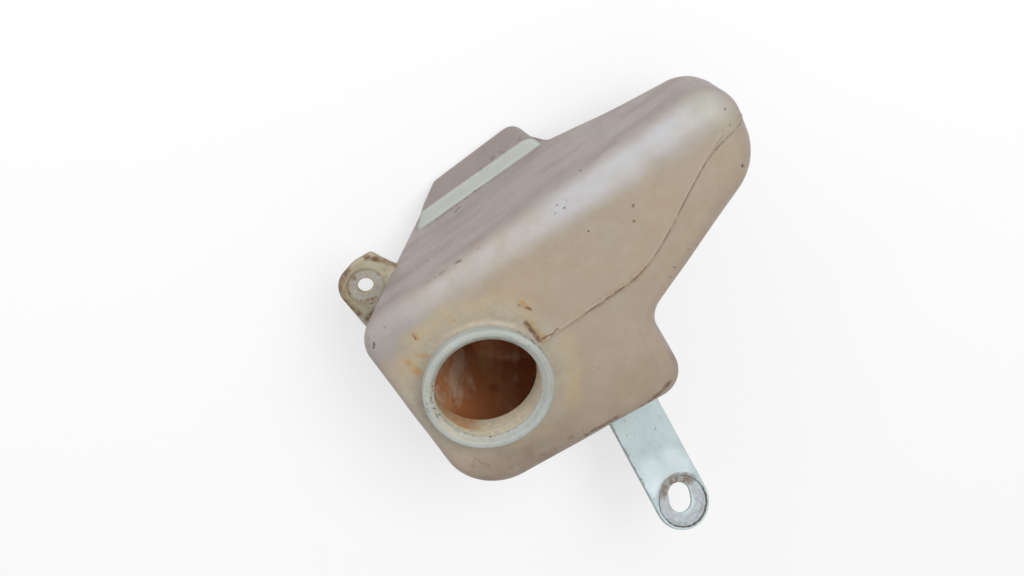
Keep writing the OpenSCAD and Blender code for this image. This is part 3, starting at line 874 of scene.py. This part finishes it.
def shellPlastic():
    material, tree, shader, where = startMaterial("agedShell")
    look = {name: plain(*value) for name, value in shellLook.items() if np.size(value) == 3}
    bent, crumbly = shaken(tree, where, 90.0, 9.0), shaken(tree, where, 420.0, 2.4)
    slow, middle, fast = noise(tree, where, 22), noise(tree, where, 75, 5), noise(tree, where, 420, 5)
    turned = addNode(tree, "ShaderNodeMapping",
                     {"Vector": where, "Rotation": (0.0, 0.62, 0.0), "Scale": (0.22, 1.0, 1.3)}).outputs[0]
    streaks, steep = noise(tree, turned, 95, 6, 0.6), reading(tree, "paintedWallShade")
    colour = blend(tree, span(tree, slow, 0.35, 0.65), look["roofWarm"], look["roofCool"])

    def paint(share, tint, way="MIX"):
        nonlocal colour
        colour = blend(tree, share, colour, look[tint] if isinstance(tint, str) else tint, way)

    def spots(kind, place, cloud=None):
        spot = shellMarks[kind]
        drawn = marks(tree, place, spot["strokes"], spot["soft"])
        return times(tree, drawn, spot["share"] if cloud is None else span(tree, cloud, *spot["share"]))

    def clouded(name, *levels):
        return times(tree, reading(tree, name), span(tree, middle, *levels))

    # painted shade: the steep walls take the darker mauve, streaked
    paint(steep, blend(tree, span(tree, streaks, 0.32, 0.66), look["wallDark"], look["wallLight"]))
    # painted highlight along the roof's rounded back edge, wider in patches
    paint(maths(tree, "ADD", clouded("paintedHighlightBand", 0.25, 0.6, 0.5, 0.95), spots("paintedHighlightPatches", bent), True), "paintedHighlightBand")
    # painted shade: the back-left end of the roof's edge is greyer
    paint(reading(tree, "shadedLeftEdge"), "shadedLeftEdge")
    paint(reading(tree, "foot"), "foot")
    paint(spots("cream", bent, middle), "cream")
    out = roundAbout(tree, bent, np.eye(3), (0, 0, shellSizes["roofHeight"]))[0]
    paint(times(tree, span(tree, out, 42, 27), span(tree, fast, 0.35, 0.65, 0.35, 0.8)), "nearNeck")
    # painted shade: the front wall and the front of the roof are darkened
    paint(clouded("paintedFrontShade", 0.25, 0.7, 0.45, 0.9), "paintedFrontShade")
    paint(spots("noseEnd", bent), "noseEnd")
    cloudy = span(tree, noise(tree, where, 130, 8, 0.7), 0.3, 0.7)
    paint(shellLook["clouds"], blend(tree, cloudy, look["cloudDark"], look["cloudLight"]), "SOFT_LIGHT")
    # painted highlight: the ledge's upward face is paler
    paint(clouded("ledge", 0.2, 0.6, 0.75, 1.0), "ledge")
    paint(spots("smudge", bent, fast), "brown")
    paint(spots("orange", bent, fast), "orange")
    paint(spots("brown", crumbly, fast), "brown")
    seam = reading(tree, "seam")  # millimetres from the parting line
    markShare = times(tree, reading(tree, "lineStain"), span(tree, fast, 0.36, 0.6, 0.0, 0.55))
    paint(times(tree, span(tree, seam, 2.6, 0.2), markShare), "brownStain")
    line = times(tree, span(tree, seam, 0.5, 0.12),
                 span(tree, noise(tree, where, 260, 3), 0.36, 0.52, 0.1, 1.0))
    paint(times(tree, line, reading(tree, "lineShare")), "line")
    cell = addNode(tree, "ShaderNodeTexVoronoi", {"Vector": where, "Scale": 150.0})
    rare = addNode(tree, "ShaderNodeSeparateColor", {0: cell.outputs["Color"]}).outputs[0]
    dots = times(tree, span(tree, cell.outputs["Distance"], 0.09, 0.04),
                 span(tree, rare, 0.93, 0.96, 0.0, 0.7))
    paint(times(tree, maths(tree, "MAXIMUM", dots, spots("dark", crumbly)), 0.8), "dark")
    paint(times(tree, span(tree, streaks, 0.6, 0.78), times(tree, steep, 0.3)), "scuff")
    rough = span(tree, middle, 0.25, 0.75, *shellLook["roughness"])
    grain = maths(tree, "ADD", times(tree, noise(tree, where, 160, 3), 0.7), noise(tree, where, 900, 4))
    grain = maths(tree, "ADD", grain, times(tree, streaks, times(tree, steep, 0.8)))
    setSockets(tree, shader, {
        "Base Color": colour, "Roughness": rough, "Normal": bumpFrom(tree, grain, shellLook["bump"], 0.6),
        "Subsurface Weight": 0.1, "Subsurface Radius": (1.0, 0.8, 0.65), "Subsurface Scale": 0.003})
    return material


def arcMark(tree, polar, radius, width, angles, heights):
    # 1 inside a mark that runs round the hole, between two angles in degrees and two heights
    out, angle, up = polar
    share = span(tree, maths(tree, "ABSOLUTE", maths(tree, "SUBTRACT", out, radius)), width, width * 0.35)
    middle, half = math.radians(sum(angles) / 2), math.radians(angles[1] - angles[0]) / 2
    if half < math.pi - 0.01:
        lined = maths(tree, "COSINE", maths(tree, "SUBTRACT", angle, middle))
        ends = span(tree, lined, math.cos(min(half + 0.25, 3.14)), math.cos(half * 0.8))
        share = times(tree, share, ends)
    centre, reach = sum(heights) / 2, (heights[1] - heights[0]) / 2
    level = maths(tree, "ABSOLUTE", maths(tree, "SUBTRACT", up, centre))
    return times(tree, share, span(tree, level, reach, reach * 0.7))


def fittingPlastic(name, look, turn, at):
    # the paler plastic of the neck, the lug and the strap, with marks of its own, and painted shade and
    # highlights among them
    material, tree, shader, where = startMaterial(name)
    bent = shaken(tree, where, 300.0, 3.0)
    slow, fast = noise(tree, where, 60, 5), noise(tree, where, 500, 5)
    crumbs = noise(tree, where, 800, 6, 0.7)
    colour = blend(tree, span(tree, slow, 0.3, 0.7), plain(*look["light"]), plain(*look["shade"]))
    polar = roundAbout(tree, shaken(tree, where, 420.0, 1.1), turn, at)
    for tint, share, strokes in look["marksShadeAndHighlights"]:
        if isinstance(strokes, dict):
            markShare = arcMark(tree, polar, **strokes)
        else:  # its points are in the fitting's own directions, and lie on its face where they have no height
            placed = [([turn @ (*point, 0.0)[:3] + at for point in points], radius)
                      for points, radius in strokes]
            markShare = marks(tree, bent, placed, 0.85, False)
        if sum(tint) <= 200:  # the darkest marks are broken into crumbs, the palest only clouded
            broken = span(tree, crumbs, 0.5, 0.6, 0.0, share)
        else:
            broken = span(tree, slow if sum(tint) > 660 else fast, 0.32, 0.6, share * 0.45, share)
        colour = blend(tree, times(tree, markShare, broken), colour, plain(*tint))
    grime = times(tree, span(tree, fast, 0.56, 0.75), look["grime"])
    colour = blend(tree, grime, colour, plain(*look["dirt"]))
    setSockets(tree, shader, {
        "Base Color": colour, "Roughness": look["roughness"],
        "Normal": bumpFrom(tree, fast, look["bump"], 0.5),
        "Subsurface Weight": 0.1, "Subsurface Scale": 0.002})
    return material


def around(radius, width, angles, heights):
    # a mark that follows the round of the neck or of a hole
    return {"radius": radius, "width": width, "angles": angles, "heights": heights}


neckLook = {
    "light": (182, 187, 181), "shade": (168, 173, 165), "dirt": (140, 122, 92),
    "grime": 0.22, "roughness": 0.6, "bump": 0.12,
    "marksShadeAndHighlights": [  # heights are above the roof
        ((232, 218, 188), 0.95, around(21.0, 2.4, (0, 360), (-9, 8.2))),
        ((196, 136, 78), 0.85, around(21.7, 2.0, (150, 222), (-9, 4))),
        ((178, 152, 110), 0.7, around(24.4, 1.6, (100, 200), (-1, 5))),
        ((196, 186, 160), 0.7, around(23.4, 1.9, (130, 235), (7, 9.8))),
        ((138, 122, 98), 0.75, around(22.6, 0.7, (20, 140), (7.5, 9.2))),
        # painted shade on the front side of the bead and rim
        ((150, 152, 148), 0.7, around(24.6, 3.4, (-150, -40), (2, 10))),
        ((88, 62, 42), 0.9, around(21.9, 0.4, (128, 262), (7.2, 8.7))),
        ((34, 26, 22), 1.0, around(22.9, 1.0, (136, 166), (7.2, 9.6))),
        ((60, 50, 42), 0.8, around(25.3, 0.6, (148, 160), (8.5, 10))),
        ((50, 40, 34), 0.9, around(24.6, 0.6, (20, 32), (8.5, 10))),
        ((96, 62, 38), 0.9, around(26.0, 0.9, (-2, 24), (1, 9.6))),
        ((150, 140, 122), 0.5, around(25.0, 0.8, (-36, -6), (8.5, 10))),
    ],
}
lugLook = {
    "light": (186, 180, 158), "shade": (158, 147, 122), "dirt": (96, 70, 46),
    "grime": 0.8, "roughness": 0.5, "bump": 0.12,
    "marksShadeAndHighlights": [
        ((112, 84, 54), 0.95, [([(-10, -8), (-11, 1), (-9.2, 7.4), (-2, 10.8)], 2.8),
                               ([(8, 10), (13, 5), (15, 0)], 2.4),
                               ([(-8, -12), (2, -12)], 2.6)]),
        ((170, 171, 166), 0.75, around(5.3, 2.2, (0, 360), (-2, 2))),
        ((110, 92, 72), 0.45, around(7.7, 0.8, (0, 360), (-2, 2))),
        ((120, 74, 38), 0.85, [([(-1.8, 5.8)], 1.6), ([(-3.8, -5.6), (0, -6.6)], 1.1)]),
        ((40, 34, 32), 0.9, [([(2.7, 2.9)], 0.9), ([(7.2, -1.5)], 0.7), ([(-7.4, 1.5)], 0.6)]),
    ],
}
strapLook = {
    "light": (198, 214, 216), "shade": (184, 202, 205), "dirt": (120, 112, 98),
    "grime": 0.25, "roughness": 0.36, "bump": 0.12,
    "marksShadeAndHighlights": [
        ((184, 178, 148), 0.85, [([(-51.5, -12), (-50, 12)], 5.5)]),
        ((108, 84, 58), 0.9, [([(-49.5, -12.5)], 2.0), ([(-49, 12.5), (-50.5, 7)], 1.6)]),
        # painted highlight: two bright patches on the tongue just before the recess
        ((226, 238, 241), 0.6, [([(-20, -6), (-13, -9)], 7.5),
                                ([(-20, 5), (-14, 8)], 7.0)]),
        ((172, 176, 180), 0.9, around(8.2, 3.6, (0, 360), (-1.8, -0.4))),
        # painted shade on the recess's floor beside its wall, on one side
        ((142, 146, 150), 0.6, around(10.2, 1.4, (-70, 80), (-1.8, -0.2))),
        ((112, 84, 58), 0.9, around(9.6, 2.2, (120, 230), (-1.6, 0.4))),
        ((120, 92, 64), 0.75, around(12.2, 0.9, (125, 225), (-1, 1))),
        # painted shade: a dark line round the recess's wall, heavier on one side, and a fainter one all round
        ((78, 70, 62), 0.9, around(11.35, 0.6, (-140, 100), (-1.6, 0.4))),
        ((96, 84, 72), 0.7, around(11.35, 0.5, (0, 360), (-1.6, 0.4))),
        ((128, 132, 128), 0.7, around(12.75, 0.5, (-150, 60), (-3.5, -0.2))),
        ((92, 84, 76), 0.8, [([(-56, -12.6, -0.6), (-8, -12.6, -0.6)], 0.8), ([(-34, 5)], 0.5),
                             ([(-42, -3)], 0.45), ([(-29, -5)], 0.5), ([(-50, 4)], 0.5),
                             ([(-38, -8)], 0.5), ([(-44, -6)], 0.45)]),
    ],
}


insideLook = {
    "rust": (196, 126, 80),
    "tan": (214, 162, 116),
    "bloom": (244, 226, 206),
    "deepRust": (134, 66, 32),
    "bloomShare": 0.5,
    "deepShare": 0.7,
    "roughness": 0.5,
}


def rustyInside(look):
    material, tree, shader, where = startMaterial("rustyInside")
    upright = addNode(tree, "ShaderNodeMapping", {"Vector": where, "Scale": (1.0, 1.0, 0.22)}).outputs[0]
    share = span(tree, noise(tree, upright, 62, 6), 0.38, 0.58)
    colour = blend(tree, share, plain(*look["rust"]), plain(*look["tan"]))
    bloom = span(tree, noise(tree, upright, 44, 5, 0.6), 0.53, 0.62, 0.0, look["bloomShare"])
    colour = blend(tree, bloom, colour, plain(*look["bloom"]))
    deep = span(tree, noise(tree, where, 62, 7, 0.65), 0.52, 0.66, 0.0, look["deepShare"])
    colour = blend(tree, deep, colour, plain(*look["deepRust"]))
    setSockets(tree, shader, {"Base Color": colour, "Roughness": look["roughness"]})
    return material


# Everything is joined to one skin, as it leaves the mould

def combine(target, other, operation):
    modifier = target.modifiers.new("join", "BOOLEAN")
    modifier.operation = operation
    modifier.solver = "MANIFOLD"
    modifier.object = other
    modifier.material_mode = "TRANSFER"
    bpy.context.view_layer.objects.active = target
    bpy.ops.object.modifier_apply(modifier=modifier.name)
    bpy.data.objects.remove(other, do_unlink=True)
    print("tank:", operation.lower(), "leaves", len(target.data.polygons), "faces")


outsidePlastic, insidePlastic = shellPlastic(), rustyInside(insideLook)
neckPlastic = fittingPlastic("neckPlastic", neckLook, np.eye(3), (0, 0, shellSizes["roofHeight"]))
lugPlastic = fittingPlastic("lugPlastic", lugLook, lugTurn, lugSizes["at"])
strapPlastic = fittingPlastic("strapPlastic", strapLook, strapTurn, strapSizes["at"])
for thing, finishes in ((shell, [outsidePlastic]), (cavity, [insidePlastic]), (throat, [insidePlastic]),
                        (neck, [neckPlastic, outsidePlastic]), (lug, [lugPlastic]), (strap, [strapPlastic])):
    for material in finishes:
        thing.data.materials.append(material)
rootHeight = (shellSizes["roofHeight"] + neckSizes["rootFlare"]) * mm
for face in neck.data.polygons:  # the flare at the neck's root has the shell's finish
    out = math.hypot(face.center[0] - neckShift * mm, face.center[1])
    face.material_index = int(face.center[2] < rootHeight and out > (neckSizes["bore"] + 1.5) * mm)
for thing in (strap, lug):
    combine(shell, thing, "UNION")
for thing in (cavity, throat):
    combine(shell, thing, "DIFFERENCE")
combine(shell, neck, "UNION")
tank = shell
tank.name = "coolantTank"
tank.data.name = "coolantTank"
slots = np.zeros(len(tank.data.polygons), np.int32)
tank.data.polygons.foreach_get("material_index", slots)
print("tank: corners", len(tank.data.vertices), "faces of each finish", np.bincount(slots).tolist())

# Readings that the shell's finish uses, such as how steep the wall is and how far off the parting line lies

def keep(name, values):
    attribute = tank.data.attributes.new(name, "FLOAT", "POINT")
    attribute.data.foreach_set("value", np.asarray(values, np.float32))


x, y, z = (vertexValues(tank, "co") / mm - [neckShift, 0, 0]).T
up = vertexValues(tank, "normal")[:, 2]
slope = outerSkin.ridgeY(x + 0.5) - outerSkin.ridgeY(x - 0.5)
keep("seam", np.abs(y - outerSkin.ridgeY(x)) / np.sqrt(1 + slope ** 2))
strength = 0.3 + 0.6 * fade(x, 44, 52) - 0.2 * fade(x, 74, 80)
keep("lineShare", strength * fade(x, 27, 33) * fade(up, -0.2, 0.2))
keep("lineStain", fade(x, 30, 48) * fade(x, 86, 72) * (0.45 + 0.55 * fade(x, 48, 56)))
# painted shade: the steeper the face, the more of the darker wall tone
keep("paintedWallShade", fade(up, 0.7, 0.2))
highlightStart, highlightFull = 32 - 4 * fade(x, 50, 100), 42  # the painted highlight band is broader towards the nose
strength = 0.45 + 0.55 * fade(x, 5, 95)
keep("paintedHighlightBand", strength * fade(y, highlightStart, highlightFull) * fade(y, 52, 44) * fade(up, 0.15, 0.75))
besideFoot = (x > 0) & (x < 85)
# painted highlight on the ledge's upward face
keep("ledge", (besideFoot & (y > 47)) * fade(z, 21.3, 22) * fade(z, 24.4, 23.5) * fade(up, 0.1, 0.4))
keep("foot", (besideFoot & (y > 46)) * fade(z, 22.4, 21.2))
front, end = fade(y, -32, -44) * fade(x, 72, 64), 0.4 * fade(x, -14, -26) * fade(y, 30, 16)
shadeBelowEdge = fade(z, 82.4, 76.4) * np.maximum(front, end)  # painted shade: both walls darken from the roof's edge downwards
# painted shade on the front of the roof, weaker towards the nose
frontRoofShade = (0.85 - 0.5 * fade(x, -5, 25)) * fade(y, -20, -44) * fade(x, 68, 62)
keep("paintedFrontShade", np.maximum(shadeBelowEdge, frontRoofShade))
# painted shade at the back-left end of the roof's rounded edge
keep("shadedLeftEdge", 0.65 * fade(x, 6, -12) * fade(y, 26, 36) * fade(up, 0.2, 0.7))
tank.data.set_sharp_from_angle(angle=math.radians(38))
tank.data.polygons.foreach_set("use_smooth", np.ones(len(tank.data.polygons), bool))
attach(tank, "root")
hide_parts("tank")
print("tank: finishes set")


# Floor and light

studio = {
    "floorSize": 3.0,
    "floorHeight": -0.05,  # millimetres, just clear of the base
    "floorColour": (0.46, 0.46, 0.46, 1.0),
    "floorGlow": 0.545,
    "ambient": (0.50, 0.50, 0.51, 1.0),
    "skyLight": {"place": (0.58, 0.4, 1.18), "aim": (0.03, 0.0, 0.04), "size": (0.7, 0.7), "power": 8.6,
                 "colour": (1.0, 0.99, 0.97)},
    "bandLight": {"place": (-0.15, 1.3, 0.62), "aim": (0.04, 0.05, 0.06), "size": (1.6, 0.7), "power": 6.4,
                  "colour": (0.93, 0.95, 1.0)},
}


def seenDirectly(tree):
    path = addNode(tree, "ShaderNodeLightPath", {})
    seen = maths(tree, "ADD", path.outputs["Is Camera Ray"], path.outputs["Is Glossy Ray"])
    return maths(tree, "ADD", seen, path.outputs["Is Transmission Ray"], True)


def makeFloor(look):
    side = look["floorSize"] / mm / 2
    places = ((-side, -side), (side, -side), (side, side), (-side, side))
    floor = meshFrom("paleFloor", [(*place, look["floorHeight"]) for place in places], [(0, 1, 2, 3)])
    material = bpy.data.materials.new("paleFloor")
    material.use_nodes = True
    tree = material.node_tree
    tree.nodes.clear()
    matt = addNode(tree, "ShaderNodeBsdfDiffuse", {"Color": look["floorColour"]})
    strength = times(tree, seenDirectly(tree), look["floorGlow"])
    glow = addNode(tree, "ShaderNodeEmission", {"Strength": strength})
    both = addNode(tree, "ShaderNodeAddShader", {0: matt.outputs[0], 1: glow.outputs[0]})
    addNode(tree, "ShaderNodeOutputMaterial", {"Surface": both.outputs[0]})
    floor.data.materials.append(material)


def makeWorld(look):
    world = bpy.data.worlds.new("softRoom")
    bpy.context.scene.world = world
    world.use_nodes = True
    tree = world.node_tree
    tree.nodes.clear()
    colour = blend(tree, seenDirectly(tree), look["ambient"], (1.0, 1.0, 1.0, 1.0))
    back = addNode(tree, "ShaderNodeBackground", {"Color": colour, "Strength": 1.0})
    addNode(tree, "ShaderNodeOutputWorld", {"Surface": back.outputs[0]})


def addLamp(name, look):
    data = bpy.data.lights.new(name, "AREA")
    data.shape = "RECTANGLE"
    data.size, data.size_y = look["size"]
    data.energy = look["power"]
    data.color = look["colour"]
    lamp = bpy.data.objects.new(name, data)
    bpy.context.scene.collection.objects.link(lamp)
    lamp.location = look["place"]
    lamp.rotation_euler = (Vector(look["place"]) - Vector(look["aim"])).to_track_quat("Z", "Y").to_euler()


makeFloor(studio)
makeWorld(studio)
addLamp("skyLight", studio["skyLight"])
addLamp("bandLight", studio["bandLight"])
bpy.context.scene.view_settings.view_transform = "Standard"
print("tank: floor and lamps set")
